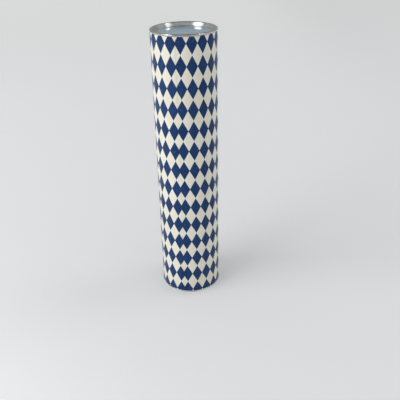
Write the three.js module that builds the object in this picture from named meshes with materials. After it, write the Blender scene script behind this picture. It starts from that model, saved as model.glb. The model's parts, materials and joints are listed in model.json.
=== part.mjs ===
// Tube kaleidoscope: a card tube in a printed wrap with a seamed tinplate rim at each end.
// A sealed cell of loose coloured glass lies under the frosted window of the object end, and a
// three-mirror tunnel leads from it down to the eye hole in the bottom end.
// Millimetres. The origin is the centre of the ring that the tube stands on, and +Z runs up the
// tube, from the eye end to the object end.
import * as THREE from 'three';

// ---- Driving dimensions ----
const LENGTH = 228.6;            // rim to rim, a nominal 9 inch tube
const ROUND_SIDES = 48;          // flats on every turned piece
const FIT_GAP = 0.1;             // radial clearance between nested rounds
const STACK_GAP = 0.15;          // clearance between pieces stacked along the tube

const TUBE_OUTER_R = 25.5;
const TUBE_WALL = 1.2;
const WRAP_THICKNESS = 0.2;
const LINER_WALL = 0.9;

const RIM_OUTER_R = 26.1;        // tin rims, the widest part of the object
const RIM_BEAD_R = 0.7;          // rounding of the rim's two edges
const RIM_SKIRT_HEIGHT = 1.65;   // band of the rim that shows outside the tube
const RIM_CROWN = 0.9;           // metal between the rim's face and the tube's cut end
const EYE_RECESS = 5;            // from the rim's face to the sunk panel of the eye end
const WINDOW_RECESS = 2.9;       // from the rim's face to the flange over the frosted window
const CHUCK_TAPER = 0.9;         // the recess narrows by this much from its mouth to its floor
const TIN = 0.3;
const WINDOW_R = 22.3;           // clear radius inside the object end's flange
const EYE_HOLE_R = 4.75;
const EYE_COLLAR_HEIGHT = 0.8;   // rolled edge of the eye hole
const EYE_COLLAR_WALL = 0.6;

const GLASS_THICKNESS = 2;
const CELL_HEIGHT = 8.6;         // between the two glass discs
const CELL_RING_WALL = 1.3;
const EYE_WINDOW_THICKNESS = 1.5;
const EYE_CARD_THICKNESS = 1;
const EYE_CARD_HOLE_R = 5;

const MIRROR_WIDTH = 34;
const MIRROR_THICKNESS = 2;
const MIRROR_LAP = 1.8;          // each strip runs on this far behind the edge of the next one
const MIRROR_GAP = 0.3;
const TAPE_THICKNESS = 0.4;
const TAPE_CLEARANCE = 0.6;
const TAPE_HEIGHT = 19;
const TAPE_LEVELS = [0.14, 0.5, 0.86];   // centre of each band, as a share of the mirrors' length
const PACKING_THICKNESS = 1.5;
const PACKING_CLEARANCE = 0.3;
const PACKING_END_CLEARANCE = 4;

const SEAM_ANGLE = THREE.MathUtils.degToRad(-14.5 - 90);   // free edge of the wrap, left of the front
const WRAP_STEPS = 96;           // flats in one turn of the wrap
const LAP_STEPS = 5;             // flats by which the wrap laps over its own start
const RAMP_STEPS = 3;            // flats in which the sheet climbs onto its start
const LAP_AIR = 0.05;            // glue line between the two layers

const ROD_SIDES = 12;
const BEAD_SIDES = 16;

// ---- Levels along the tube, worked out from the dimensions above ----
const tubeInnerR = TUBE_OUTER_R - TUBE_WALL;
const discR = tubeInnerR - 3 * FIT_GAP;
const linerOuterR = tubeInnerR - 2 * FIT_GAP;
const linerInnerR = linerOuterR - LINER_WALL;
const chuckOuterR = tubeInnerR - FIT_GAP;
const chuckInnerR = chuckOuterR - TIN;

const eyeWindowBase = EYE_RECESS + TIN + STACK_GAP;
const eyeCardBase = eyeWindowBase + EYE_WINDOW_THICKNESS + STACK_GAP;
const tunnelBase = eyeCardBase + EYE_CARD_THICKNESS + STACK_GAP;
const frostedGlassBase = LENGTH - WINDOW_RECESS - TIN - STACK_GAP - GLASS_THICKNESS;
const cellFloor = frostedGlassBase - CELL_HEIGHT;
const clearGlassBase = cellFloor - GLASS_THICKNESS;
const tunnelTop = clearGlassBase - STACK_GAP;
const tunnelLength = tunnelTop - tunnelBase;

// ---- Materials ----
const paper = { color: 0xe4e0d3, roughness: 0.62, metalness: 0 };
const card = { color: 0x9a8768, roughness: 0.9, metalness: 0 };
const blackCard = { color: 0x1d1c1b, roughness: 0.92, metalness: 0 };
const tinplate = { color: 0xa9ada8, roughness: 0.24, metalness: 0.95 };
const clearGlass = { color: 0xdfe9e6, roughness: 0.04, metalness: 0, transparent: true, opacity: 0.3 };
const frostedGlass = { color: 0xa9bac6, roughness: 0.3, metalness: 0, transparent: true, opacity: 0.75 };
const mirrorGlass = { color: 0xdfe3e4, roughness: 0.03, metalness: 1 };
const clothTape = { color: 0x22252b, roughness: 0.85, metalness: 0 };

function colouredGlass(color) {
  return { color, roughness: 0.08, metalness: 0, transparent: true, opacity: 0.8 };
}

// ---- Building blocks ----
function named(name, geometry, finish) {
  const mesh = new THREE.Mesh(geometry, new THREE.MeshStandardMaterial(finish));
  mesh.name = name;
  return mesh;
}

// Turns a closed outline of [radius, height] points about Z. The outline runs anticlockwise,
// with the radius to the right and the height up.
function turned(outline, sides = ROUND_SIDES) {
  const closed = [...outline, outline[0]].map(([radius, height]) => new THREE.Vector2(radius, height));
  return new THREE.LatheGeometry(closed, sides).rotateX(Math.PI / 2);
}

function pipe(innerR, outerR, height) {
  return turned([[innerR, 0], [outerR, 0], [outerR, height], [innerR, height]]);
}

function disc(radius, thickness) {
  return new THREE.CylinderGeometry(radius, radius, thickness, ROUND_SIDES)
    .rotateX(Math.PI / 2)
    .translate(0, 0, thickness / 2);
}

// Points of an arc round [radius, height], from one angle to another in degrees.
function arc([centreR, centreZ], radius, fromDeg, toDeg, steps) {
  return Array.from({ length: steps + 1 }, (_, step) => {
    const angle = THREE.MathUtils.degToRad(fromDeg + (toDeg - fromDeg) * step / steps);
    return [centreR + radius * Math.cos(angle), centreZ + radius * Math.sin(angle)];
  });
}

function extruded(outline, height, hole = null) {
  const shape = new THREE.Shape(outline);
  if (hole) {
    shape.holes.push(new THREE.Path(hole));
  }
  return new THREE.ExtrudeGeometry(shape, { depth: height, bevelEnabled: false });
}

function polar(radius, angle) {
  return new THREE.Vector2(radius * Math.cos(angle), radius * Math.sin(angle));
}

// ---- Tube ----
// One sheet of printed paper: it starts under its own lap, goes once round the tube and climbs
// onto its start, where its free edge makes the seam.
function printedWrap() {
  const stepAngle = 2 * Math.PI / WRAP_STEPS;
  const startAngle = SEAM_ANGLE - LAP_STEPS * stepAngle;
  const climb = WRAP_THICKNESS + LAP_AIR;
  const inner = [];
  const outer = [];
  for (let step = 0; step <= WRAP_STEPS + LAP_STEPS; step += 1) {
    const climbed = THREE.MathUtils.clamp((step - WRAP_STEPS + RAMP_STEPS) / RAMP_STEPS, 0, 1);
    const radius = TUBE_OUTER_R + FIT_GAP + climb * climbed;
    const angle = startAngle + step * stepAngle;
    inner.push(polar(radius, angle));
    outer.push(polar(radius + WRAP_THICKNESS, angle));
  }
  const height = LENGTH - 2 * (RIM_SKIRT_HEIGHT + STACK_GAP);
  const wrap = named('printed_wrap', extruded([...outer, ...inner.reverse()], height), paper);
  wrap.position.z = RIM_SKIRT_HEIGHT + STACK_GAP;
  return wrap;
}

function bodyTube() {
  const endClearance = RIM_CROWN + STACK_GAP;
  const tube = named('body_tube', pipe(tubeInnerR, TUBE_OUTER_R, LENGTH - 2 * endClearance), card);
  tube.position.z = endClearance;
  return tube;
}

function linerTube() {
  const liner = named('liner_tube', pipe(linerInnerR, linerOuterR, tunnelLength), blackCard);
  liner.position.z = tunnelBase;
  return liner;
}

// ---- Tin ends ----
// A seamed end that faces down, from the rim's face at height 0. Its panel lies at the depth of
// the recess. The panel's back, from the wall inwards, and its front, from the inside outwards,
// come from the caller.
function tinEnd(recess, panelBack, panelFront) {
  const skirtInnerR = TUBE_OUTER_R + FIT_GAP;
  return turned([
    ...arc([RIM_OUTER_R - RIM_BEAD_R, RIM_BEAD_R], RIM_BEAD_R, -90, 0, 3),
    [RIM_OUTER_R, RIM_SKIRT_HEIGHT],
    [skirtInnerR, RIM_SKIRT_HEIGHT],
    [skirtInnerR, RIM_CROWN],
    [chuckOuterR, RIM_CROWN],
    [chuckOuterR - CHUCK_TAPER, recess + TIN],
    ...panelBack,
    ...panelFront,
    [chuckInnerR - CHUCK_TAPER, recess],
    ...arc([chuckInnerR + RIM_BEAD_R, RIM_BEAD_R], RIM_BEAD_R, 180, 270, 3),
  ]);
}

function objectEndRing() {
  const flangeBack = [[WINDOW_R, WINDOW_RECESS + TIN]];
  const flangeFront = [[WINDOW_R, WINDOW_RECESS]];
  const ring = named('object_end_ring', tinEnd(WINDOW_RECESS, flangeBack, flangeFront), tinplate);
  ring.rotation.x = Math.PI;
  ring.position.z = LENGTH;
  return ring;
}

// The bottom end is closed: a ring is stamped into its panel, and its centre is drawn out into
// a collar round the eye hole.
function eyeEndCap() {
  const stamping = { outerR: 17.2, innerR: 13.8, drop: 0.6 };
  const stampedRing = (level) => [
    [stamping.outerR, level],
    [stamping.outerR - stamping.drop, level - stamping.drop],
    [stamping.innerR + stamping.drop, level - stamping.drop],
    [stamping.innerR, level],
  ];
  const collarTip = EYE_RECESS - EYE_COLLAR_HEIGHT;
  const back = [...stampedRing(EYE_RECESS + TIN), [EYE_HOLE_R, EYE_RECESS + TIN]];
  const front = [
    [EYE_HOLE_R, collarTip],
    [EYE_HOLE_R + EYE_COLLAR_WALL, collarTip],
    [EYE_HOLE_R + EYE_COLLAR_WALL, EYE_RECESS],
    ...stampedRing(EYE_RECESS).reverse(),
  ];
  return named('eye_end_cap', tinEnd(EYE_RECESS, back, front), tinplate);
}

// ---- Glass, cell and cards ----
function endStack() {
  const frosted = named('frosted_end_glass', disc(discR, GLASS_THICKNESS), frostedGlass);
  frosted.position.z = frostedGlassBase;

  const cellRingInnerR = linerOuterR - CELL_RING_WALL;
  const cellRingShape = pipe(cellRingInnerR, linerOuterR, CELL_HEIGHT - 2 * STACK_GAP);
  const cellRing = named('cell_spacer_ring', cellRingShape, card);
  cellRing.position.z = cellFloor + STACK_GAP;

  const clear = named('inner_clear_glass', disc(discR, GLASS_THICKNESS), clearGlass);
  clear.position.z = clearGlassBase;
  return [frosted, cellRing, clear];
}

function eyeStack() {
  const sightWindow = named('eye_window', disc(discR, EYE_WINDOW_THICKNESS), clearGlass);
  sightWindow.position.z = eyeWindowBase;

  const eyeCard = named('eye_mask_card', pipe(EYE_CARD_HOLE_R, discR, EYE_CARD_THICKNESS), blackCard);
  eyeCard.position.z = eyeCardBase;
  return [sightWindow, eyeCard];
}

// ---- Mirror tunnel ----
// Three strips round an upright triangular tunnel. Each strip's near end butts against the face
// of the next, and its far end runs on behind the strip before it.
const tunnelSide = MIRROR_WIDTH - MIRROR_LAP + MIRROR_GAP;
const tunnelInradius = tunnelSide / (2 * Math.sqrt(3));
const mirrorBack = tunnelInradius + MIRROR_THICKNESS;
const mirrorFarEnd = -tunnelSide / 2 - MIRROR_LAP;
const mirrorNearEnd = mirrorFarEnd + MIRROR_WIDTH;
const THIRD_OF_TURN = 2 * Math.PI / 3;

function turnedGroup(angle, ...meshes) {
  const group = new THREE.Group();
  group.rotation.z = angle;
  group.add(...meshes);
  return group;
}

function mirrorStrip(index) {
  const strip = new THREE.BoxGeometry(MIRROR_WIDTH, MIRROR_THICKNESS, tunnelLength);
  const mirror = named(`mirror_${index + 1}`, strip, mirrorGlass);
  mirror.position.set(
    (mirrorFarEnd + mirrorNearEnd) / 2,
    -tunnelInradius - MIRROR_THICKNESS / 2,
    (tunnelBase + tunnelTop) / 2,
  );
  return turnedGroup(index * THIRD_OF_TURN, mirror);
}

// Outline round the outside of the three strips, pushed outwards by the clearance.
function bundleOutline(clearance) {
  const corners = [
    new THREE.Vector2(mirrorFarEnd, -tunnelInradius),
    new THREE.Vector2(mirrorFarEnd, -mirrorBack),
    new THREE.Vector2(mirrorNearEnd, -mirrorBack),
  ];
  const origin = new THREE.Vector2();
  return [0, 1, 2].flatMap((strip) => corners.map((corner) => {
    const pushed = corner.clone().setLength(corner.length() + clearance);
    return pushed.rotateAround(origin, strip * THIRD_OF_TURN);
  }));
}

function tapeBand(level, index) {
  const outside = bundleOutline(TAPE_CLEARANCE + TAPE_THICKNESS);
  const inside = bundleOutline(TAPE_CLEARANCE);
  const band = named(`tape_band_${index + 1}`, extruded(outside, TAPE_HEIGHT, inside), clothTape);
  band.position.z = tunnelBase + level * tunnelLength - TAPE_HEIGHT / 2;
  return band;
}

// D-shaped outline between the back of one mirror and the liner.
function packingOutline(inset) {
  const chord = mirrorBack + TAPE_CLEARANCE + TAPE_THICKNESS + PACKING_CLEARANCE + inset;
  const radius = linerInnerR - PACKING_CLEARANCE - inset;
  const halfAngle = Math.acos(chord / radius);
  const steps = 16;
  return Array.from({ length: steps + 1 }, (_, step) => (
    polar(radius, -Math.PI / 2 + halfAngle * (2 * step / steps - 1))
  ));
}

// A strip of card rolled into a D, which keeps one mirror from rattling against the liner.
function packingRoll(index) {
  const length = tunnelLength - 2 * PACKING_END_CLEARANCE;
  const section = extruded(packingOutline(0), length, packingOutline(PACKING_THICKNESS));
  const roll = named(`packing_roll_${index + 1}`, section, card);
  roll.position.z = tunnelBase + PACKING_END_CLEARANCE;
  return turnedGroup(index * THIRD_OF_TURN, roll);
}

// ---- Loose pieces in the cell ----
// A flat splinter of glass. Its corners are [outwards, round the tube] from its middle.
function splinter(corners, thickness) {
  return extruded(corners.map(([outwards, along]) => new THREE.Vector2(outwards, along)), thickness);
}

// A glass rod that lies along its lane.
function rod(diameter, length) {
  return new THREE.CylinderGeometry(diameter / 2, diameter / 2, length, ROD_SIDES)
    .translate(0, 0, diameter / 2);
}

// A pressed bead with a threading hole, lying flat.
function bead(outerR, holeR, height) {
  const edge = height / 2;
  return turned([
    [holeR, edge / 2],
    [(holeR + outerR) / 2, 0],
    [outerR, edge / 2],
    [outerR, 3 * edge / 2],
    [(holeR + outerR) / 2, height],
    [holeR, 3 * edge / 2],
  ], BEAD_SIDES);
}

// Each lane is a ring of the cell that its pieces keep to: they circle in it together.
const lanes = [
  {
    radius: 18.6,
    pieces: [
      {
        name: 'ruby_splinter', at: 4, color: 0xb01028,
        geometry: splinter([[-3, -3.6], [3, -1.2], [0.6, 4.2]], 2.2),
      },
      {
        name: 'cobalt_splinter', at: 54, color: 0x1638b0,
        geometry: splinter([[-2.6, -3.4], [2.4, -3.8], [3.2, 1.6], [-1.4, 4]], 2),
      },
      { name: 'amber_rod', at: 106, color: 0xe08a12, geometry: rod(2.6, 8.5) },
      {
        name: 'emerald_splinter', at: 158, color: 0x0f8a4a,
        geometry: splinter([[-3.2, 0.4], [-0.6, -4.4], [2.8, -1.6], [2, 3.4]], 2.4),
      },
      { name: 'opal_bead', at: 207, color: 0xe9edf0, geometry: bead(2.9, 0.9, 2.8) },
      {
        name: 'violet_splinter', at: 256, color: 0x6a2aa0,
        geometry: splinter([[-2.4, -4], [3, -2.2], [1.8, 3.8], [-2.8, 2]], 1.8),
      },
      {
        name: 'turquoise_splinter', at: 309, color: 0x14a0a8,
        geometry: splinter([[-1.2, -4.2], [3, -2.8], [2.6, 2.6], [-3, 3.4]], 2.1),
      },
    ],
  },
  {
    radius: 11.1,
    pieces: [
      {
        name: 'gold_splinter', at: 38, color: 0xf0b41c,
        geometry: splinter([[-2.8, -1.8], [0.4, -3.4], [3, 0.4], [-0.8, 3.2]], 2.2),
      },
      { name: 'scarlet_bead', at: 128, color: 0xd0201c, geometry: bead(2.6, 0.8, 2.6) },
      { name: 'sky_rod', at: 214, color: 0x2f8fe0, geometry: rod(2.4, 6) },
      {
        name: 'lime_splinter', at: 302, color: 0x78b822,
        geometry: splinter([[-2.6, 2.6], [-1.6, -2.8], [2.8, -2], [1.8, 2.8]], 1.9),
      },
    ],
  },
  {
    radius: 4,
    pieces: [
      {
        name: 'rose_splinter', at: 75, color: 0xe04c8c,
        geometry: splinter([[-2.2, -1.6], [2.2, -1.8], [0.6, 2.6]], 2),
      },
      { name: 'yellow_bead', at: 255, color: 0xf4d81e, geometry: bead(2.3, 0.7, 2.4) },
    ],
  },
];

function looseGlass() {
  return lanes.flatMap(({ radius, pieces }) => pieces.map(({ name, at, color, geometry }) => {
    const piece = named(name, geometry, colouredGlass(color));
    piece.position.set(radius, 0, cellFloor + STACK_GAP);
    return turnedGroup(THREE.MathUtils.degToRad(at), piece);
  }));
}

// ---- Whole kaleidoscope ----
const group = new THREE.Group();
group.add(
  printedWrap(),
  bodyTube(),
  linerTube(),
  objectEndRing(),
  eyeEndCap(),
  ...endStack(),
  ...eyeStack(),
  ...[0, 1, 2].map(mirrorStrip),
  ...TAPE_LEVELS.map(tapeBand),
  ...[0, 1, 2].map(packingRoll),
  ...looseGlass(),
);

export default group;
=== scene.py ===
"""Looks of the tube kaleidoscope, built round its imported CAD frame.

Each CAD node is replaced by a finer piece that keeps to the same place and size. Lengths are in
metres. +Z runs up the tube, and the side that faces the camera is -Y. Angles round the tube are
zero at the front and grow towards +X.
"""
import json
import math

import bmesh
import bpy
from mathutils import Matrix, Vector, noise

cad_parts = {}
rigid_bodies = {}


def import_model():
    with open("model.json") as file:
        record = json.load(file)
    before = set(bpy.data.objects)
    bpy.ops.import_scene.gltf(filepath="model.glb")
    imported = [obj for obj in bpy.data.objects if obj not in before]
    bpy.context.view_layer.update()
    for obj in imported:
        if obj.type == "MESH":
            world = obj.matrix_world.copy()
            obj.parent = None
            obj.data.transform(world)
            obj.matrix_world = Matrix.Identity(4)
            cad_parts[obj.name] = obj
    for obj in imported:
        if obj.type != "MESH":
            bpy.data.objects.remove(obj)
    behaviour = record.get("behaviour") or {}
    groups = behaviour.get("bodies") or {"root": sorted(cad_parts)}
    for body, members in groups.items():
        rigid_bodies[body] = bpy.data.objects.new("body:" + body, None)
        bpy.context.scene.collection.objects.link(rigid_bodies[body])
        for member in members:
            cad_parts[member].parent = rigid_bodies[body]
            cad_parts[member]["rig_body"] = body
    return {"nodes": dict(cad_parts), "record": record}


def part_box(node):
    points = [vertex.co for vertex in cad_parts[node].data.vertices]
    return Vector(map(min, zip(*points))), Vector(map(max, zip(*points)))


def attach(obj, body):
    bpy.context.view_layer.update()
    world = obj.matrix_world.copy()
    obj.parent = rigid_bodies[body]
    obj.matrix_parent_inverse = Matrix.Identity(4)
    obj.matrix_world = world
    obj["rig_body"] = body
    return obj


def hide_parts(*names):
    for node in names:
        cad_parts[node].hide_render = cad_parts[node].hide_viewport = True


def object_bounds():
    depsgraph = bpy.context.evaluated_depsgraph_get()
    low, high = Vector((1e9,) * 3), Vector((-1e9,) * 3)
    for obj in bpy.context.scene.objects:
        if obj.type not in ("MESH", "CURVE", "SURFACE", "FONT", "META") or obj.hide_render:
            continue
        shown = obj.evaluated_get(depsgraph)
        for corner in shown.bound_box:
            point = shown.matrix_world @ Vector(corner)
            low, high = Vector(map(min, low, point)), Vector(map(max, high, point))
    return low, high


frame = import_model()
cad_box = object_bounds()

MM = 0.001
TURN = 2 * math.pi
SHARP = math.radians(34)         # edges steeper than this stay crisp


# ---------------------------------------------------------------- places, from the frame
def span(node):
    """Lowest and highest level of a node."""
    low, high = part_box(node)
    return low.z, high.z


def width_radius(node):
    """Half the width of a round node."""
    low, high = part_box(node)
    return (high.x - low.x) / 2


HEIGHT = cad_box[1].z
RIM_R = width_radius("object_end_ring")
TUBE_R = width_radius("body_tube")
DISC_R = width_radius("frosted_end_glass")
WRAP_LOW, WRAP_HIGH = span("printed_wrap")

TUBE_WALL = 1.2 * MM
LINER_WALL = 0.9 * MM
CELL_RING_WALL = 1.3 * MM
EYE_CARD_HOLE_R = 5 * MM
TIN = 0.3 * MM
SKIRT = HEIGHT - WRAP_HIGH - 0.1 * MM      # height of a rim's outside band
CROWN = 0.9 * MM                           # height of a rim's rounded face
CHUCK_MOUTH_R = 23.9 * MM                  # a rim's inner wall, at its mouth and at its floor
CHUCK_FLOOR_R = 22.87 * MM
EYE_RECESS = 5 * MM                        # depth of the sunk panel of the eye end
FLANGE = TIN + 0.15 * MM                   # the window flange, and the gap between it and the glass
WINDOW_RECESS = HEIGHT - span("frosted_end_glass")[1] - FLANGE
WINDOW_R = 22.3 * MM
WINDOW_LIFT = 0.13 * MM                    # the window is pressed up against its flange
EYE_HOLE_R = 4.75 * MM

# ---- the wrap and its print ----
PAPER = 0.2 * MM
WRAP_R = TUBE_R + 0.3 * MM                 # printed face of the wrap, away from its lap
LAP = math.radians(18.75)                  # the sheet's end lies this far over its start
RAMP = math.radians(11.25)                 # and climbs onto it in this much
FIRST_ROW = HEIGHT - 0.5739 * WRAP_R       # level of the top row of whole white diamonds
ROW = 0.6521 * WRAP_R
COLUMN = math.radians(19.073)
COLUMNS = 18                               # whole columns; the lap cuts the next one narrow
FIRST_COLUMN = math.radians(-6.591)
COLUMN_SPREAD = 0.00129                    # columns widen by this share per wrap radius downwards
COLUMN_LEAN = 0.00085                      # radians per wrap radius upwards
ROW_TILT = -0.0167 * WRAP_R                # rows lie this far off level a quarter turn round,
ROW_CREEP = -0.0144 * WRAP_R / (COLUMN * COLUMNS)   # and drift by this per radian

# ---- the studio ----
SHEET_GLOW = 0.1                           # what the studio paper adds to the light that falls on it,
SHEET_GLOW_PER_METRE = 0.13                # more with every metre from the middle,
NEAR_GLOW = 0.12                           # and more again in front and to the left, a painted pool of light,
NEAR_START, NEAR_REACH = 0.1, 0.43         # where that begins, and where it comes to its full strength
RIGHT_PAINTED_SHADE = 0.065                         # painted shade: less far out to the right,
RIGHT_START, RIGHT_REACH = 0.12, 0.5       # between these distances
FRONT_WALL_GLOW = 0.42                     # what the tin mirrors: the room's walls and ceiling
BACK_WALL_GLOW = 0.36
CEILING_GLOW = 0.12
FLOOR_AHEAD = 0.45                         # and the floor in front of the tube and at its sides
FLOOR_LEFT = 1.0
FLOOR_RIGHT = 0.6
LEFT_POWER = 10.7                          # lamps, in watts
RIGHT_POWER = 0.4
SIDE_POWER = 3.6
OVERHEAD_POWER = 9.0
ROOM_GLOW = 0.335


def seam_angle(level):
    """Where the sheet's free edge lies, midway between the first and the last whole column."""
    depth = (level - FIRST_ROW) / WRAP_R
    printed = COLUMN * COLUMNS * (1 - COLUMN_SPREAD * depth)
    return FIRST_COLUMN + COLUMN_LEAN * depth + (printed - TURN) / 2


# ---------------------------------------------------------------- shader building
class Shader:
    """One material's node tree, with short calls for the nodes that the materials here use."""

    def __init__(self, name):
        self.material = bpy.data.materials.new(name)
        self.material.use_nodes = True
        self.tree = self.material.node_tree
        self.surface = self.tree.nodes["Principled BSDF"]
        self.place = self.add("ShaderNodeTexCoord").outputs["Object"]

    def add(self, kind, **settings):
        node = self.tree.nodes.new(kind)
        for key, value in settings.items():
            setattr(node, key, value)
        return node

    def feed(self, socket, value):
        if isinstance(value, bpy.types.NodeSocket):
            self.tree.links.new(value, socket)
        elif value is not None:
            socket.default_value = value

    def set(self, **values):
        """Sets or links sockets of the surface; underscores stand for spaces."""
        for key, value in values.items():
            self.feed(self.surface.inputs[key.replace("_", " ")], value)

    def math(self, operation, first, second=None, third=None):
        node = self.add("ShaderNodeMath", operation=operation)
        for socket, value in zip(node.inputs, (first, second, third)):
            self.feed(socket, value)
        return node.outputs[0]

    def split(self, vector):
        node = self.add("ShaderNodeSeparateXYZ")
        self.feed(node.inputs[0], vector)
        return node.outputs

    def join(self, x, y, z):
        node = self.add("ShaderNodeCombineXYZ")
        for socket, value in zip(node.inputs, (x, y, z)):
            self.feed(socket, value)
        return node.outputs[0]

    def stretch(self, factors):
        node = self.add("ShaderNodeVectorMath", operation="MULTIPLY")
        self.feed(node.inputs[0], self.place)
        node.inputs[1].default_value = factors
        return node.outputs[0]

    def noise(self, scale, detail=3.0, roughness=0.55, vector=None):
        node = self.add("ShaderNodeTexNoise")
        self.feed(node.inputs["Vector"], vector or self.place)
        self.feed(node.inputs["Scale"], scale)
        self.feed(node.inputs["Detail"], detail)
        self.feed(node.inputs["Roughness"], roughness)
        return node.outputs["Fac"]

    def step(self, value, low, high, to_low=0.0, to_high=1.0):
        """Smooth step of a value from to_low to to_high."""
        node = self.add("ShaderNodeMapRange", interpolation_type="SMOOTHSTEP")
        for name, number in (
            ("Value", value),
            ("From Min", low),
            ("From Max", high),
            ("To Min", to_low),
            ("To Max", to_high),
        ):
            self.feed(node.inputs[name], number)
        return node.outputs["Result"]

    def mix(self, factor, first, second):
        """A colour between two others, each given as red, green and blue or as a socket."""
        node = self.add("ShaderNodeMix", data_type="RGBA")
        self.feed(node.inputs["Factor"], factor)
        self.feed(node.inputs[6], (*first, 1) if isinstance(first, tuple) else first)
        self.feed(node.inputs[7], (*second, 1) if isinstance(second, tuple) else second)
        return node.outputs[2]

    def bump(self, height, distance, strength, below=None):
        node = self.add("ShaderNodeBump")
        self.feed(node.inputs["Height"], height)
        self.feed(node.inputs["Distance"], distance)
        self.feed(node.inputs["Strength"], strength)
        self.feed(node.inputs["Normal"], below)
        return node.outputs[0]

    def round_place(self):
        """Angle from the front, level and radius of the point, as three sockets."""
        x, y, z = self.split(self.place)
        around = self.math("ARCTAN2", x, self.math("MULTIPLY", y, -1.0))
        squares = self.math("ADD", self.math("MULTIPLY", x, x), self.math("MULTIPLY", y, y))
        radius = self.math("SQRT", squares)
        return around, z, radius


def diamond_mask(s):
    """1 in the pale diamonds of the print and 0 in the dark ones, with softly uneven edges."""
    around, level, _ = s.round_place()
    depth = s.math("DIVIDE", s.math("SUBTRACT", level, FIRST_ROW), WRAP_R)
    top_seam = seam_angle(FIRST_ROW)
    seam_drift = seam_angle(FIRST_ROW + WRAP_R) - top_seam
    seam = s.math("MULTIPLY_ADD", depth, seam_drift, top_seam)
    before_seam = s.math("LESS_THAN", around, seam)
    unrolled = s.math("MULTIPLY_ADD", before_seam, TURN, around)
    leaning = s.math("MULTIPLY", depth, COLUMN_LEAN)
    printed = s.math("SUBTRACT", s.math("SUBTRACT", unrolled, FIRST_COLUMN), leaning)
    pitch = s.math("MULTIPLY_ADD", depth, -COLUMN_SPREAD * COLUMN, COLUMN)
    column = s.math("DIVIDE", printed, pitch)

    tilt = s.math("MULTIPLY", s.math("SINE", printed), ROW_TILT)
    creep = s.math("MULTIPLY", printed, ROW_CREEP)
    lifted = s.math("SUBTRACT", s.math("SUBTRACT", level, FIRST_ROW), s.math("ADD", tilt, creep))
    row = s.math("DIVIDE", lifted, ROW)

    # the plate's edges wander a little, and the ink creeps along the fibres
    wander_by, creep_by = 0.05, 0.03
    wander = s.math("SUBTRACT", s.noise(170.0, 2.0), 0.5)
    creeping = s.math("SUBTRACT", s.noise(2600.0, 2.0), 0.5)
    unevenness = s.math("MULTIPLY_ADD", wander, wander_by, s.math("MULTIPLY", creeping, creep_by))

    from_column = s.math("SUBTRACT", s.math("FRACT", column), 0.5)
    across = s.math("MULTIPLY", s.math("ABSOLUTE", from_column), 2.0)
    from_row = s.math("SUBTRACT", row, s.math("ROUND", row))
    along = s.math("MULTIPLY", s.math("ABSOLUTE", from_row), 2.0)
    tie = 0.025                  # corners of like colour run together this far, as a share of a row
    edge = s.math("MULTIPLY_ADD", s.math("SUBTRACT", 1.0, across), 1 - 2 * tie, tie)
    inside = s.math("ADD", s.math("SUBTRACT", edge, along), unevenness)
    softness = 0.02
    return s.step(inside, -softness, softness)


def printed_paper():
    """Smooth litho paper: navy and cream diamonds under a thin, slightly worn varnish."""
    s = Shader("printed_paper")
    pale = diamond_mask(s)

    ageing = s.noise(28.0, 4.0, 0.6)
    fibres = s.noise(1500.0, 3.0)
    cream = s.mix(s.step(ageing, 0.35, 0.75), (0.865, 0.85, 0.755), (0.825, 0.785, 0.655))
    cream = s.mix(s.step(fibres, 0.3, 0.7, 0.0, 0.35), cream, (0.81, 0.77, 0.65))
    foxing = s.step(s.noise(420.0, 1.0), 0.73, 0.78, 0.0, 0.45)
    cream = s.mix(foxing, cream, (0.55, 0.42, 0.26))

    density = s.noise(55.0, 3.0, 0.6)
    navy = s.mix(s.step(density, 0.3, 0.72), (0.005, 0.034, 0.128), (0.010, 0.046, 0.155))
    mottle = s.step(s.noise(1100.0, 2.0), 0.42, 0.66, 0.0, 0.35)
    navy = s.mix(mottle, navy, (0.016, 0.058, 0.165))
    pinholes = s.step(s.noise(1900.0, 1.0, vector=s.stretch((1, 1, 0.6))), 0.735, 0.76, 0.0, 0.5)
    navy = s.mix(pinholes, navy, (0.5, 0.5, 0.5))

    # handling has rubbed the ink thin along a few long scuffs
    scuffs = s.noise(9.0, 5.0, 0.7, vector=s.stretch((1.0, 1.0, 0.35)))
    hairs = s.noise(260.0, 2.0, 0.5, vector=s.stretch((1.0, 1.0, 0.05)))
    rubbed = s.math("MULTIPLY", s.step(scuffs, 0.55, 0.75), s.step(hairs, 0.62, 0.7, 0.0, 0.4))
    navy = s.mix(rubbed, navy, (0.32, 0.34, 0.4))

    colour = s.mix(pale, navy, cream)
    handling = s.noise(70.0, 4.0, 0.6)
    roughness = s.math("MULTIPLY_ADD", handling, 0.16, s.step(pale, 0.0, 1.0, 0.27, 0.33))
    tooth = s.bump(fibres, 0.012 * MM, 0.6)
    ink_edge = s.bump(pale, 0.006 * MM, 0.5, tooth)
    cockle = s.bump(s.noise(38.0, 2.0, 0.4), 0.25 * MM, 0.5, ink_edge)
    s.set(Base_Color=colour, Roughness=roughness, Normal=cockle, Specular_IOR_Level=0.16)
    return s.material


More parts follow.
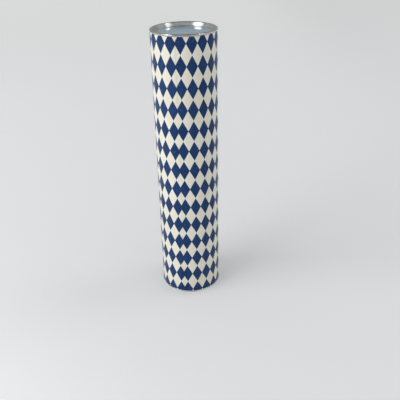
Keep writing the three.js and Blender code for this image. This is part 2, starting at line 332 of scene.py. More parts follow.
def tinplate():
    """Bright tin with fine marks round the rim, faint tarnish, and wear to a duller grey."""
    s = Shader("tinplate")
    around, level, radius = s.round_place()
    unrolled = s.join(s.math("MULTIPLY", around, 0.004), level, radius)
    rolling = s.noise(5200.0, 3.0, 0.6, vector=unrolled)
    tarnish = s.noise(150.0, 4.0, 0.65)
    specks = s.step(s.noise(1300.0, 1.0), 0.68, 0.74)
    bright = s.mix(s.step(tarnish, 0.4, 0.7), (0.72, 0.725, 0.70), (0.56, 0.565, 0.54))
    worn = s.mix(s.math("MULTIPLY", specks, 0.5), bright, (0.25, 0.23, 0.2))
    tarnished = s.step(tarnish, 0.35, 0.75, 0.16, 0.25)
    roughness = s.math("ADD", tarnished, s.step(rolling, 0.4, 0.7, 0.0, 0.05))
    marks = s.bump(rolling, 0.004 * MM, 0.3)
    dents = s.bump(s.noise(120.0, 1.0), 0.05 * MM, 0.25, marks)
    s.set(Base_Color=worn, Metallic=1.0, Roughness=roughness, Normal=dents)
    return s.material


def frosted_glass():
    """Pale blue-grey glass, smooth on top and ground beneath, so that the cell only glows through."""
    s = Shader("frosted_glass")
    grind = s.noise(2600.0, 2.0)
    cloud = s.noise(85.0, 3.0)
    tint = s.mix(s.step(cloud, 0.3, 0.7), (0.46, 0.67, 0.80), (0.52, 0.72, 0.84))
    smudges = s.noise(120.0, 4.0, 0.7)
    s.set(
        Base_Color=tint,
        Roughness=s.step(grind, 0.3, 0.7, 0.38, 0.55),
        Transmission_Weight=0.45,
        IOR=1.5,
        Coat_Weight=s.step(smudges, 0.3, 0.75, 1.0, 0.75),
        Coat_Roughness=0.03,
        Coat_IOR=1.55,
        Normal=s.bump(grind, 0.01 * MM, 0.3),
    )
    s.feed(s.surface.inputs["Coat Normal"], s.bump(s.noise(60.0, 1.0), 0.1 * MM, 0.2))
    return s.material


def clear_glass():
    """Old window glass with a faint green cast and a little dust."""
    s = Shader("clear_glass")
    dust = s.step(s.noise(900.0, 4.0, 0.7), 0.5, 0.8, 0.0, 0.3)
    s.set(
        Base_Color=s.mix(dust, (0.93, 0.97, 0.95), (0.8, 0.82, 0.8)),
        Roughness=s.math("ADD", dust, 0.02),
        Transmission_Weight=1.0,
        IOR=1.5,
        Normal=s.bump(s.noise(70.0, 1.0), 0.08 * MM, 0.2),
    )
    return s.material


def coloured_glass(slot, colour, milky=False):
    """Glass stained right through, with seeds and streaks from the pot. Milky glass lets less through."""
    s = Shader(slot)
    streaks = s.noise(520.0, 3.0, 0.6, vector=s.stretch((1.0, 0.35, 1.0)))
    deep = tuple(channel * 0.6 for channel in colour)
    seeds = s.step(s.noise(2300.0, 1.0), 0.7, 0.75, 0.0, 0.5)
    s.set(
        Base_Color=s.mix(seeds, s.mix(s.step(streaks, 0.35, 0.7), colour, deep), (0.85, 0.85, 0.85)),
        Roughness=s.step(streaks, 0.3, 0.7, 0.04, 0.14),
        Transmission_Weight=0.25 if milky else 0.85,
        IOR=1.52,
        Normal=s.bump(s.noise(900.0, 2.0), 0.02 * MM, 0.4),
    )
    return s.material


def card(slot, base, deep, gloss=0.85, plies=False):
    """Pulp board: mottled fibre, and on cut ends the plies it was wound from."""
    s = Shader(slot)
    _, level, radius = s.round_place()
    pulp = s.noise(700.0, 5.0, 0.65)
    flecks = s.step(s.noise(2200.0, 2.0, vector=s.stretch((1.0, 1.0, 0.4))), 0.62, 0.7, 0.0, 0.55)
    colour = s.mix(s.step(pulp, 0.3, 0.7), base, deep)
    colour = s.mix(flecks, colour, tuple(channel * 0.5 for channel in deep))
    height = pulp
    if plies:
        layers = s.math("SINE", s.math("MULTIPLY", radius, TURN / (0.3 * MM)))
        colour = s.mix(s.step(layers, -0.6, 0.9, 0.0, 0.4), colour, deep)
        height = s.math("ADD", pulp, s.math("MULTIPLY", layers, 0.3))
    s.set(Base_Color=colour, Roughness=gloss, Specular_IOR_Level=0.2, Normal=s.bump(height, 0.06 * MM, 0.6))
    return s.material


def cloth_tape():
    """Black bookbinding tape: a plain weave with a dull glue shine."""
    s = Shader("cloth_tape")
    around, level, radius = s.round_place()
    thread = TURN / (0.55 * MM)
    warp = s.math("SINE", s.math("MULTIPLY", level, thread))
    weft = s.math("SINE", s.math("MULTIPLY", s.math("MULTIPLY", around, 21 * MM), thread))
    weave = s.math("MULTIPLY", warp, weft)
    worn = s.step(s.noise(200.0, 4.0), 0.5, 0.75, 0.0, 0.5)
    colour = s.mix(s.step(weave, -0.7, 0.8), (0.012, 0.013, 0.017), (0.04, 0.042, 0.05))
    s.set(
        Base_Color=s.mix(worn, colour, (0.09, 0.09, 0.095)),
        Roughness=s.step(weave, -1.0, 1.0, 0.85, 0.6),
        Normal=s.bump(weave, 0.06 * MM, 0.8),
    )
    return s.material


def mirror_silver():
    """Silvered face seen through its glass, with a few pinpricks in the silver."""
    s = Shader("silvered_mirror")
    pricks = s.step(s.noise(1500.0, 1.0), 0.74, 0.77, 0.0, 0.7)
    haze = s.noise(60.0, 3.0)
    s.set(
        Base_Color=s.mix(pricks, (0.9, 0.93, 0.92), (0.2, 0.2, 0.2)),
        Metallic=1.0,
        Roughness=s.step(haze, 0.3, 0.8, 0.012, 0.05),
    )
    return s.material


def mirror_paint():
    """Brick-grey protective paint on the back of a mirror, brushed on by hand."""
    s = Shader("mirror_paint")
    strokes = s.noise(900.0, 3.0, vector=s.stretch((1.0, 1.0, 0.06)))
    s.set(
        Base_Color=s.mix(s.step(strokes, 0.3, 0.7), (0.24, 0.11, 0.08), (0.32, 0.16, 0.12)),
        Roughness=s.step(strokes, 0.3, 0.7, 0.5, 0.7),
        Normal=s.bump(strokes, 0.04 * MM, 0.6),
    )
    return s.material


def mirror_edge():
    """Ground green edge of plate glass."""
    s = Shader("mirror_edge")
    grind = s.noise(1800.0, 3.0, vector=s.stretch((1.0, 1.0, 0.2)))
    s.set(
        Base_Color=s.mix(grind, (0.18, 0.38, 0.30), (0.42, 0.6, 0.52)),
        Roughness=s.step(grind, 0.3, 0.7, 0.3, 0.55),
        Transmission_Weight=0.3,
        Normal=s.bump(grind, 0.03 * MM, 0.5),
    )
    return s.material


# ---------------------------------------------------------------- mesh building
def turned_points(outline, steps, warp=None):
    """An outline of (radius, level) points repeated round Z, as loops of 3-D points."""
    loops = []
    for index in range(steps):
        angle = TURN * index / steps
        loop = []
        for radius, level in outline:
            r = radius + (warp(angle, radius, level) if warp else 0.0)
            loop.append(Vector((r * math.sin(angle), -r * math.cos(angle), level)))
        loops.append(loop)
    return loops


def loft(name, loops, closed):
    """A mesh through loops of points. It closes on itself, or it gets a flat cap at each end."""
    vertices = [point for loop in loops for point in loop]
    size = len(loops[0])
    count = len(loops)
    faces = []
    for near in range(count if closed else count - 1):
        far = (near + 1) % count
        for index in range(size):
            after = (index + 1) % size
            start, end = near * size, far * size
            faces.append((start + index, start + after, end + after, end + index))
    if not closed:
        faces.append(tuple(reversed(range(size))))
        faces.append(tuple((count - 1) * size + index for index in range(size)))
    mesh = bpy.data.meshes.new(name)
    mesh.from_pydata(vertices, [], faces)
    tidy(mesh)
    return mesh


def tidy(mesh):
    """Welds a mesh, turns its faces outwards, and smooths all but its sharp edges."""
    shell = bmesh.new()
    shell.from_mesh(mesh)
    bmesh.ops.remove_doubles(shell, verts=shell.verts, dist=1e-7)
    bmesh.ops.dissolve_degenerate(shell, edges=shell.edges, dist=1e-7)
    bmesh.ops.recalc_face_normals(shell, faces=shell.faces)
    shell.to_mesh(mesh)
    shell.free()
    mesh.shade_smooth()
    mesh.set_sharp_from_angle(angle=SHARP)


def piece(mesh, node, slot, *materials):
    """Puts a mesh in the scene in place of its CAD node, on that node's body."""
    made = bpy.data.objects.new(mesh.name, mesh)
    bpy.context.scene.collection.objects.link(made)
    for material in materials:
        mesh.materials.append(material)
    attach(made, frame["nodes"][node]["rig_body"])
    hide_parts(node)
    return made


def arc(centre, radius, start_deg, end_deg, steps):
    """Points of an arc. The radius may be a pair, for the half-width and half-height of an ellipse."""
    across, up = radius if isinstance(radius, tuple) else (radius, radius)
    points = []
    for index in range(steps + 1):
        angle = math.radians(start_deg + (end_deg - start_deg) * index / steps)
        points.append((centre[0] + across * math.cos(angle), centre[1] + up * math.sin(angle)))
    return points


def rounded(points, reach, steps=4):
    """A closed outline with each corner eased into a curve that starts within reach of it."""
    eased = []
    corners = [Vector(point) for point in points]
    for index, corner in enumerate(corners):
        before = corners[index - 1] - corner
        after = corners[(index + 1) % len(corners)] - corner
        start = corner + before.normalized() * min(reach, before.length * 0.45)
        end = corner + after.normalized() * min(reach, after.length * 0.45)
        for step in range(steps + 1):
            t = step / steps
            eased.append(start * (1 - t) ** 2 + corner * 2 * t * (1 - t) + end * t ** 2)
    return eased


def ring_outline(inner, outer, low, high, ease):
    """Section of a flat or tall ring, with its four edges eased."""
    corners = [(inner, low), (outer, low), (outer, high), (inner, high)]
    return [tuple(point) for point in rounded(corners, ease)]


def disc_outline(radius, low, high, ease):
    """Half section of a disc, from the axis out and back to the axis."""
    return [
        (0.0, low),
        (radius * 0.5, low),
        *arc((radius - ease, low + ease), ease, -90, 0, 4),
        *arc((radius - ease, high - ease), ease, 0, 90, 4),
        (radius * 0.5, high),
        (0.0, high),
    ]


# ---------------------------------------------------------------- tube
def wrap_sheet(material):
    """One sheet round the tube: it starts under its own lap and ends on top of it, at the seam."""
    low, high = WRAP_LOW, WRAP_HIGH
    rows = 72
    steps = 260
    levels = [low + (high - low) * index / rows for index in range(rows + 1)]
    climb = PAPER + 0.05 * MM    # over the sheet's start and its glue
    cockle = 0.02 * MM
    loops = []
    for step in range(steps + 1):
        travelled = (TURN + LAP) * step / steps
        before_end = TURN + LAP - travelled
        climbed = min(max(1 - (before_end - LAP) / RAMP, 0.0), 1.0)
        climbed = climbed * climbed * (3 - 2 * climbed)
        outside = []
        inside = []
        for level in levels:
            angle = seam_angle(level) - LAP + travelled
            place = Vector((math.sin(angle) * 3, math.cos(angle) * 3, level * 45))
            radius = WRAP_R + climb * climbed + cockle * noise.noise(place)
            outside.append(Vector((radius * math.sin(angle), -radius * math.cos(angle), level)))
            radius -= PAPER
            inside.append(Vector((radius * math.sin(angle), -radius * math.cos(angle), level)))
        loops.append(outside + inside[::-1])
    return piece(loft("wrap_sheet", loops, closed=False), "printed_wrap", "printed_paper", material)


def round_card(name, node, slot, wall, material):
    """A wound card tube or ring, a little out of true."""
    ease, stray = 0.12 * MM, 0.015 * MM
    outer = width_radius(node)
    low, high = span(node)
    section = ring_outline(outer - wall, outer, low, high, ease)

    def out_of_true(angle, _, level):
        return stray * (noise.noise(Vector((math.sin(angle), math.cos(angle), level * 30))) - 1)

    mesh = loft(name, turned_points(section, 128, out_of_true), closed=True)
    return piece(mesh, node, slot, material)


# ---------------------------------------------------------------- tin ends
def seamed_outline(recess, front, back):
    """Section of a tin end that faces down, from its face at level 0.

    It has a skirt outside the tube, a rounded crown, a recess wall that narrows, and the panel's
    front and back, which are given from the wall inwards.
    """
    crown_r = (RIM_R + CHUCK_MOUTH_R) / 2
    crown_half = (RIM_R - CHUCK_MOUTH_R) / 2
    skirt_inner = TUBE_R + 0.15 * MM
    hem, fillet = 0.22 * MM, 0.2 * MM
    waist = 0.05 * MM            # the skirt is pressed in this far above its hem
    return [
        *arc((crown_r, CROWN), (crown_half, CROWN), -180, 0, 18),
        (RIM_R - waist, SKIRT * 0.55),
        *arc((RIM_R - 0.04 * MM - hem, SKIRT - hem), hem, 0, 90, 4),
        (skirt_inner, SKIRT - 0.05 * MM),
        (skirt_inner, CROWN + 0.1 * MM),
        (CHUCK_MOUTH_R + TIN, CROWN + 0.1 * MM),
        (CHUCK_FLOOR_R + TIN, recess + TIN),
        *back,
        *reversed(front),
        *arc((CHUCK_FLOOR_R - fillet, recess - fillet), fillet, 90, 12, 5),
    ]


def hand_seamed(angle, radius, level):
    """Slight dents and ripples that the seaming rollers leave, always inwards."""
    if radius <= CHUCK_FLOOR_R - MM:
        return 0.0
    ripples, ripple_depth, dent_depth = 41, 0.005 * MM, 0.04 * MM
    ripple = ripple_depth * (math.sin(angle * ripples + 2 * math.sin(angle * 3)) - 1)
    place = Vector((math.sin(angle) * 2.1, math.cos(angle) * 2.1, level * 220))
    return ripple + dent_depth * (noise.noise(place) - 1)


def tin_ring(material):
    """The object end, open in the middle: its flange is bevelled down to the window's face."""
    bevel = TIN / 2
    flat_r = CHUCK_FLOOR_R - 0.3 * MM
    front_level, back_level = WINDOW_RECESS, WINDOW_RECESS + TIN
    tip = (WINDOW_R, back_level - 0.1 * TIN)
    front = [(flat_r, front_level), (WINDOW_R + bevel, front_level), tip]
    back = [(flat_r, back_level), (WINDOW_R + 0.02 * MM, back_level)]
    section = [(r, HEIGHT - z) for r, z in seamed_outline(WINDOW_RECESS, front, back)]
    mesh = loft("tin_object_ring", turned_points(section, 256, hand_seamed), closed=True)
    return piece(mesh, "object_end_ring", "tinplate", material)


def tin_cap(material):
    """The eye end: a stamped ring in the panel, and a rolled collar round the hole."""
    drop, bank, ease = 0.6 * MM, 0.6 * MM, 0.45 * MM
    middle, half_top = 15.5 * MM, 1.1 * MM

    def stamped(level):
        return [
            *arc((middle + half_top + bank, level - ease), ease, 90, 135, 3),
            *arc((middle + half_top, level - drop + ease), ease, -45, -90, 3),
            *arc((middle - half_top, level - drop + ease), ease, -90, -135, 3),
            *arc((middle - half_top - bank, level - ease), ease, 45, 90, 3),
        ]

    roll = 0.3 * MM
    collar_r = EYE_HOLE_R + roll
    level = EYE_RECESS
    front = [*stamped(level), (collar_r + roll + 0.3 * MM, level), (collar_r + roll, level - 0.25 * MM)]
    tip = arc((collar_r, level - 0.5 * MM), roll, 0, -180, 8)
    back = [*stamped(level + TIN), (EYE_HOLE_R + 0.5 * MM, level + TIN), (EYE_HOLE_R, level)]
    section = seamed_outline(level, front + tip, back)
    mesh = loft("tin_eye_cap", turned_points(section, 256, hand_seamed), closed=True)
    return piece(mesh, "eye_end_cap", "tinplate", material)


# ---------------------------------------------------------------- glass discs and eye card
def glass_disc(name, node, slot, material, lift=0.0):
    low, high = span(node)
    section = disc_outline(width_radius(node), low + lift, high + lift, 0.3 * MM)
    return piece(loft(name, turned_points(section, 160), closed=True), node, slot, material)


def eye_card(material):
    low, high = span("eye_mask_card")
    section = ring_outline(EYE_CARD_HOLE_R, DISC_R, low, high, 0.1 * MM)
    mesh = loft("sight_card", turned_points(section, 128), closed=True)
    return piece(mesh, "eye_mask_card", "black_card", material)


# ---------------------------------------------------------------- mirror tunnel
def third_turn(point, index):
    return Matrix.Rotation(TURN * index / 3, 2) @ Vector(point)


def mirror_strip(index, silver, edge, paint):
    """A strip of silvered plate glass with eased edges, its bright face to the tunnel."""
    low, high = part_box("mirror_1")
    ease, shrinkage = 0.18 * MM, 0.006
    corners = [(low.x, low.y), (high.x, low.y), (high.x, high.y), (low.x, high.y)]
    section = rounded(corners, ease, 3)
    middle = Vector(((low.x + high.x) / 2, (low.y + high.y) / 2))
    shrunk = [middle + (point - middle) * (1 - shrinkage) for point in section]
    stations = [(low.z, shrunk), (low.z + ease, section), (high.z - ease, section), (high.z, shrunk)]
    loops = []
    for level, outline in stations:
        loops.append([Vector((*third_turn(point, index), level)) for point in outline])
    mesh = loft(f"mirror_strip_{index + 1}", loops, closed=False)
    made = piece(mesh, f"mirror_{index + 1}", "silvered_mirror", silver, edge, paint)
    facing = Vector((*third_turn((0, 1), index), 0))
    square_on = 0.9
    for face in mesh.polygons:
        turned = face.normal.dot(facing)
        face.material_index = 0 if turned > square_on else 2 if turned < -square_on else 1
    return made


def bundle_outline(clearance):
    """Outline round the three strips, pushed outwards by the clearance."""
    low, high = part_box("mirror_1")
    corners = [Vector((low.x, high.y)), Vector((low.x, low.y)), Vector((high.x, low.y))]
    pushed = [corner.normalized() * (corner.length + clearance) for corner in corners]
    return [third_turn(corner, index) for index in range(3) for corner in pushed]


def ring_loops(outside, inside, levels, wobble=0.0):
    """Sections of a band: at each outline point, up the outside and down the inside.

    The wobble is the share by which the outside strays.
    """
    loops = []
    for out_point, in_point in zip(outside, inside):
        up = []
        down = []
        for level in levels:
            slack = wobble * noise.noise(Vector((*(out_point * 300), level * 300)))
            up.append(Vector((*(out_point * (1 + slack)), level)))
            down.append(Vector((*in_point, level)))
        loops.append(up + down[::-1])
    return loops


def tape_wrap(index, material):
    """A band of cloth tape pulled tight round the strips."""
    low, high = span(f"tape_band_{index + 1}")
    inner_gap, outer_gap = 0.62 * MM, 0.98 * MM
    steps = 12
    slack = 0.0012
    outside = rounded(bundle_outline(outer_gap), 0.5 * MM)
    inside = rounded(bundle_outline(inner_gap), 0.4 * MM)
    levels = [low + (high - low) * step / steps for step in range(steps + 1)]
    mesh = loft(f"tape_wrap_{index + 1}", ring_loops(outside, inside, levels, slack), closed=True)
    return piece(mesh, f"tape_band_{index + 1}", "cloth_tape", material)


def packing_roll(index, material):
    """A strip of fluted card rolled into a D, with its flutes on the inside."""
    node_low, node_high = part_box("packing_roll_1")
    bow_r = -node_low.y
    chord = -node_high.y
    half = math.degrees(math.acos(chord / bow_r))
    bow_steps, chord_steps = 60, 40
    bow = arc((0, 0), bow_r - 0.02 * MM, -90 - half, -90 + half, bow_steps)
    path = [Vector(point) for point in bow]
    start, end = path[-1], path[0]
    path += [start.lerp(end, step / chord_steps) for step in range(1, chord_steps)]

    wall, flute, flute_steps = 0.85 * MM, 0.42 * MM, 5
    inside = []
    for step, point in enumerate(path):
        inward = -point.normalized() if step <= bow_steps else Vector((0, -1))
        depth = wall + flute * math.sin(TURN * step / flute_steps)
        inside.append(point + inward * depth)
    # the corners of the D, where the two walls meet, stay clear of each other
    middle = Vector((0, -(bow_r + chord) / 2))
    corner_depth = 2.2 * MM
    for corner in (0, bow_steps):
        inside[corner] = path[corner] + (middle - path[corner]).normalized() * corner_depth
    outside = [third_turn(point, index) for point in path]
    inside = [third_turn(point, index) for point in inside]
    loops = ring_loops(outside, inside, [node_low.z, node_high.z])
    mesh = loft(f"packing_card_{index + 1}", loops, closed=True)
    return piece(mesh, f"packing_roll_{index + 1}", "packing_card", material)


# ---------------------------------------------------------------- loose glass
def splinter(node, slot, material):
    """The CAD splinter with chipped, eased edges."""
    chip = 0.16 * MM
    mesh = frame["nodes"][node].data.copy()
    mesh.name = f"loose_{node}"
    mesh.materials.clear()
    shell = bmesh.new()
    shell.from_mesh(mesh)
    bmesh.ops.remove_doubles(shell, verts=shell.verts, dist=1e-6)
    bmesh.ops.dissolve_limit(shell, angle_limit=math.radians(2), verts=shell.verts, edges=shell.edges)
    bmesh.ops.bevel(shell, geom=shell.edges, offset=chip, segments=3, profile=0.6, affect="EDGES")
    shell.to_mesh(mesh)
    shell.free()
    tidy(mesh)
    return piece(mesh, node, slot, material)


def bead(node, slot, material):
    """A pressed bead: a round ring with a flat waist line."""
    low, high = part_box(node)
    centre = (low + high) / 2
    outer = (high.x - low.x) / 2
    hole = 0.31 * outer
    section = arc(((outer + hole) / 2, 0), ((outer - hole) / 2, (high.z - low.z) / 2), 0, 345, 23)
    loops = turned_points(section, 48)
    mesh = loft(f"loose_{node}", [[point + centre for point in loop] for loop in loops], closed=True)
    return piece(mesh, node, slot, material)


def rod(node, slot, material):
    """A drawn rod with fire-rounded ends, lying along its lane."""
    vertices = [vertex.co for vertex in frame["nodes"][node].data.vertices]
    low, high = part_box(node)
    centre = (low + high) / 2
    along = Vector((-centre.y, centre.x, 0)).normalized()
    half = max((point - centre).dot(along) for point in vertices)
    radius = (high.z - low.z) / 2
    section = [
        (0.0, -half),
        *arc((radius * 0.45, -half + radius * 0.55), radius * 0.55, -90, 0, 6),
        *arc((radius * 0.45, half - radius * 0.55), radius * 0.55, 0, 90, 6),
        (0.0, half),
    ]
    lay_down = along.to_track_quat("Z", "Y").to_matrix()
    loops = [[centre + lay_down @ point for point in loop] for loop in turned_points(section, 32)]
    return piece(loft(f"loose_{node}", loops, closed=True), node, slot, material)


def loose_glass():
    record = frame["record"]
    colours = {entry["slot"]: tuple(entry["base_color"][:3]) for entry in record["materials"]}
    slots = {entry["node"]: entry["material_slot"] for entry in record["subparts"]}
    makers = {"splinter": splinter, "bead": bead, "rod": rod}
    for body, members in record["behaviour"]["bodies"].items():
        kind = body.split("_")[-1]
        if kind in makers:
            for node in members:
                slot = slots[node]
                material = coloured_glass(slot, colours[slot], milky=(slot == "opal_glass"))
                makers[kind](node, slot, material)


# ---------------------------------------------------------------- stage, light and camera
def curtain(name, loops):
    """A sheet through a closed ring of point loops, facing the middle."""
    size = len(loops[0])
    faces = []
    for near in range(len(loops)):
        far = (near + 1) % len(loops)
        for index in range(size - 1):
            start, end = near * size + index, far * size + index
            faces.append((start, start + 1, end + 1, end))
    mesh = bpy.data.meshes.new(name)
    mesh.from_pydata([point for loop in loops for point in loop], [], faces)
    mesh.update()
    if mesh.polygons[0].normal.z < 0:
        mesh.flip_normals()
    mesh.shade_smooth()
    return mesh


def stage_piece(name, mesh):
    """A sheet of pale studio paper that can be seen through from behind.

    It glows more with every metre from the middle, and more again in front and to the left, a painted pool
    of light, but less far out to the right, where shade is painted in.
    """
    sheet = bpy.data.objects.new(name, mesh)
    bpy.context.scene.collection.objects.link(sheet)
    s = Shader(name)
    _, _, distance = s.round_place()
    x, y, _ = s.split(s.place)
    # painted light in front and to the left, and painted shade far out to the right
    painted_light_near_left = s.step(s.math("ADD", x, y), -NEAR_START, -NEAR_REACH, 0.0, NEAR_GLOW)
    painted_shade_right = s.step(x, RIGHT_START, RIGHT_REACH, 0.0, -RIGHT_PAINTED_SHADE)
    s.set(Base_Color=s.mix(s.noise(2.0, 2.0), (0.80, 0.80, 0.80), (0.82, 0.82, 0.82)), Roughness=0.9)
    s.set(Specular_IOR_Level=0.1, Emission_Color=(1.0, 0.99, 0.98, 1))
    far_off = s.math("MULTIPLY_ADD", distance, SHEET_GLOW_PER_METRE, SHEET_GLOW)
    s.set(Emission_Strength=s.math("ADD", far_off, s.math("ADD", painted_light_near_left, painted_shade_right)))
    from_front = s.math("SUBTRACT", 1.0, s.add("ShaderNodeNewGeometry").outputs["Backfacing"])
    s.set(Alpha=from_front)
    mesh.materials.append(s.material)
    return sheet


def stage():
    """A pale round floor, and a sweep of the same paper far off that only the camera sees."""
    floor_r, sweep = 2.4, 1.8
    floor = bpy.data.meshes.new("studio_floor")
    rim = [(radius, level, 0) for radius, level in arc((0, 0), floor_r, 0, 360 - 3.75, 95)]
    floor.from_pydata(rim, [], [tuple(range(len(rim)))])
    stage_piece("studio_floor", floor)
    wall = arc((floor_r, sweep), sweep, -90, 0, 24)
    loops = turned_points(wall, 96)
    backdrop = stage_piece("studio_sweep", curtain("studio_sweep", loops))
    backdrop.visible_diffuse = False
    backdrop.visible_glossy = False
    backdrop.visible_transmission = False
    backdrop.visible_shadow = False


def reflected_only(name, mesh, shader):
    """A screen that only reflections see. It shapes what the bright tin mirrors, and lights nothing."""
    screen = bpy.data.objects.new(name, mesh)
    bpy.context.scene.collection.objects.link(screen)
    shader.set(Base_Color=(0.0, 0.0, 0.0, 1), Roughness=1.0, Specular_IOR_Level=0.0)
    mesh.materials.append(shader.material)
    screen.visible_camera = False
    screen.visible_diffuse = False
    screen.visible_shadow = False
    screen.visible_transmission = False


def room_walls():
    """The room as the tin mirrors it: a grey dome, and the floor in front, dimmest straight ahead."""
    reach, thick, foot = 3.2, 0.01, -0.05
    profile = arc((0, foot), reach, 0, 90, 20) + arc((0, foot), reach + thick, 90, 0, 20)
    dome = Shader("room_grey")
    _, y, level = dome.split(dome.place)
    walls = dome.step(y, 0.3 * reach, 0.8 * reach, FRONT_WALL_GLOW, BACK_WALL_GLOW)
    dome.set(Emission_Color=(0.96, 1.0, 1.0, 1))
    dome.set(Emission_Strength=dome.step(level, 0.55 * reach, reach, walls, CEILING_GLOW))
    reflected_only("room_dome", loft("room_dome", turned_points(profile, 64), closed=True), dome)

    near, far, half, lift = 0.24, 2.2, 100, 0.004
    corners = [(near, 0.001), (far, 0.001), (far, lift), (near, lift)]
    loops = []
    for bearing in range(-half, half + 1, 10):
        level_out = seen_at(bearing, 0)
        loops.append([level_out * r + Vector((0, 0, z)) for r, z in corners])
    dark = Shader("dark_floor")
    bearing, _, _ = dark.round_place()
    inner, outer = math.radians(20), math.radians(half)
    leftwards = dark.step(bearing, -outer, -inner, FLOOR_LEFT - FLOOR_AHEAD, 0.0)
    rightwards = dark.step(bearing, inner, outer, 0.0, FLOOR_RIGHT - FLOOR_AHEAD)
    shade = dark.math("ADD", dark.math("ADD", leftwards, rightwards), FLOOR_AHEAD)
    dark.set(Emission_Color=(1.0, 0.94, 0.9, 1), Emission_Strength=shade)
    reflected_only("dark_floor", loft("dark_floor", loops, closed=False), dark)


def seen_at(bearing, climb):
    """Direction from the tube to a bearing from the front and a climb above the floor, in degrees."""
    bearing, climb = math.radians(bearing), math.radians(climb)
    level_share = math.cos(climb)
    return Vector((math.sin(bearing) * level_share, -math.cos(bearing) * level_share, math.sin(climb)))


def glow_panel(name, bearing, climb, distance, size, glow):
    """A window as the tin mirrors it: an oval, bright in the middle and fading out to its edges."""
    away = seen_at(bearing, climb)
    turn = (-away).to_track_quat("-Z", "Y").to_matrix()
    centre = Vector((0, 0, HEIGHT)) + away * distance
    sideways, upwards = turn.col[0] * size[0] / 2, turn.col[1] * size[1] / 2
    loops = []
    for lift in (0.0, 0.002):
        oval = [centre + sideways * u + upwards * v - away * lift for u, v in arc((0, 0), 1, 0, 352.5, 47)]
        loops.append(oval)
    s = Shader(name)
    offset = s.add("ShaderNodeVectorMath", operation="SUBTRACT")
    s.feed(offset.inputs[0], s.place)
    offset.inputs[1].default_value = centre
    shares = []
    for half in (sideways, upwards):
        along = s.add("ShaderNodeVectorMath", operation="DOT_PRODUCT")
        s.feed(along.inputs[0], offset.outputs[0])
        along.inputs[1].default_value = half / half.length_squared
        shares.append(s.math("POWER", s.math("ABSOLUTE", along.outputs["Value"]), 2.0))
    fading = s.step(s.math("SQRT", s.math("ADD", *shares)), 0.25, 1.0, glow, 0.0)
    s.set(Emission_Color=(1.0, 1.0, 1.0, 1), Emission_Strength=fading)
    reflected_only(name, loft(name, loops, closed=False), s)


def soft_box(name, bearing, climb, distance, size, power, colour=(1, 1, 1)):
    """An area light that the tin and the glass don't mirror."""
    lamp = bpy.data.lights.new(name, "AREA")
    lamp.shape = "RECTANGLE"
    lamp.size, lamp.size_y = size
    lamp.energy = power
    lamp.color = colour
    light = bpy.data.objects.new(name, lamp)
    away = seen_at(bearing, climb)
    light.location = Vector((0, 0, HEIGHT * 0.6)) + away * distance
    light.rotation_euler = (-away).to_track_quat("-Z", "Y").to_euler()
    light.visible_glossy = False
    bpy.context.scene.collection.objects.link(light)


def lights():
    soft_box("left_window", -66, 24, 1.35, (1.2, 1.1), LEFT_POWER, (0.98, 1.0, 1.05))
    soft_box("right_window", 60, 22, 1.5, (0.5, 0.7), RIGHT_POWER)
    soft_box("side_fill", 104, 24, 1.5, (0.8, 0.8), SIDE_POWER, (0.88, 0.94, 1.0))
    soft_box("overhead", 0, 89, 2.2, (2.4, 2.4), OVERHEAD_POWER)
    glow_panel("left_wide", -60, 22, 1.4, (1.6, 1.5), 2.4)
    glow_panel("right_wide", 62, 22, 1.4, (1.0, 1.3), 1.7)
    glow_panel("left_high", -74, 47, 1.5, (0.8, 0.5), 7.0)
    glow_panel("right_high", 78, 47, 1.5, (0.6, 0.45), 6.0)
    world = bpy.data.worlds.new("room")
    bpy.context.scene.world = world
    world.use_nodes = True
    background = world.node_tree.nodes["Background"]
    background.inputs["Color"].default_value = (0.98, 1.0, 1.0, 1)
    background.inputs["Strength"].default_value = ROOM_GLOW
    bpy.context.scene.view_settings.view_transform = "Standard"


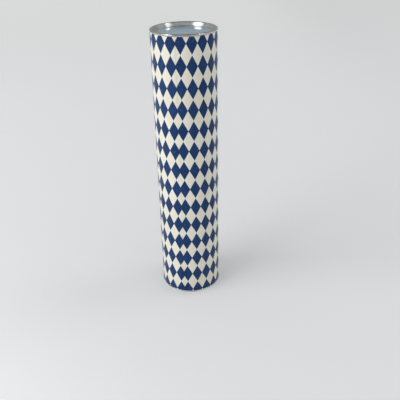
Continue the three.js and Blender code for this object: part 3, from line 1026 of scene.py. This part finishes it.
def camera():
    """Looks down at the tube from in front, a little to the left of square, with a normal lens."""
    lens = bpy.data.cameras.new("camera")
    lens.lens = 50
    lens.sensor_width = 36
    lens.clip_start, lens.clip_end = 0.02, 20
    seen_from = bpy.data.objects.new("camera", lens)
    pitch, roll, yaw = math.radians(28.173), math.radians(1.208), math.radians(1.288)
    ahead = Vector((math.sin(yaw) * math.cos(pitch), math.cos(yaw) * math.cos(pitch), -math.sin(pitch)))
    level_right = Vector((math.cos(yaw), -math.sin(yaw), 0))
    level_down = ahead.cross(level_right)
    right = math.cos(roll) * level_right + math.sin(roll) * level_down
    up = math.sin(roll) * level_right - math.cos(roll) * level_down
    turn = Matrix((right, up, -ahead)).transposed()
    distance, rise = 16.704 * WRAP_R, 3.7845 * WRAP_R
    seen_from.matrix_world = Matrix.Translation((0, -distance, FIRST_ROW + rise)) @ turn.to_4x4()
    bpy.context.scene.collection.objects.link(seen_from)
    bpy.context.scene.camera = seen_from


# ---------------------------------------------------------------- the kaleidoscope
def kaleidoscope():
    tin = tinplate()
    clear = clear_glass()
    black = card("black_card", (0.02, 0.02, 0.021), (0.035, 0.034, 0.033), plies=True)
    silver, edge, paint = mirror_silver(), mirror_edge(), mirror_paint()
    tape = cloth_tape()
    packing = card("packing_card", (0.42, 0.32, 0.19), (0.52, 0.42, 0.27))

    wrap_sheet(printed_paper())
    tube_board = card("tube_card", (0.42, 0.35, 0.25), (0.33, 0.27, 0.19), plies=True)
    round_card("card_tube", "body_tube", "tube_card", TUBE_WALL, tube_board)
    round_card("liner_sleeve", "liner_tube", "black_card", LINER_WALL, black)
    cell_board = card("spacer_card", (0.62, 0.56, 0.44), (0.5, 0.44, 0.33), plies=True)
    round_card("cell_ring", "cell_spacer_ring", "spacer_card", CELL_RING_WALL, cell_board)
    tin_ring(tin)
    tin_cap(tin)
    glass_disc("frosted_window", "frosted_end_glass", "frosted_glass", frosted_glass(), WINDOW_LIFT)
    glass_disc("cell_floor_glass", "inner_clear_glass", "clear_glass", clear)
    glass_disc("eye_glass", "eye_window", "clear_glass", clear)
    eye_card(black)
    for index in range(3):
        mirror_strip(index, silver, edge, paint)
        tape_wrap(index, tape)
        packing_roll(index, packing)
    loose_glass()


kaleidoscope()
stage()
room_walls()
lights()
camera()
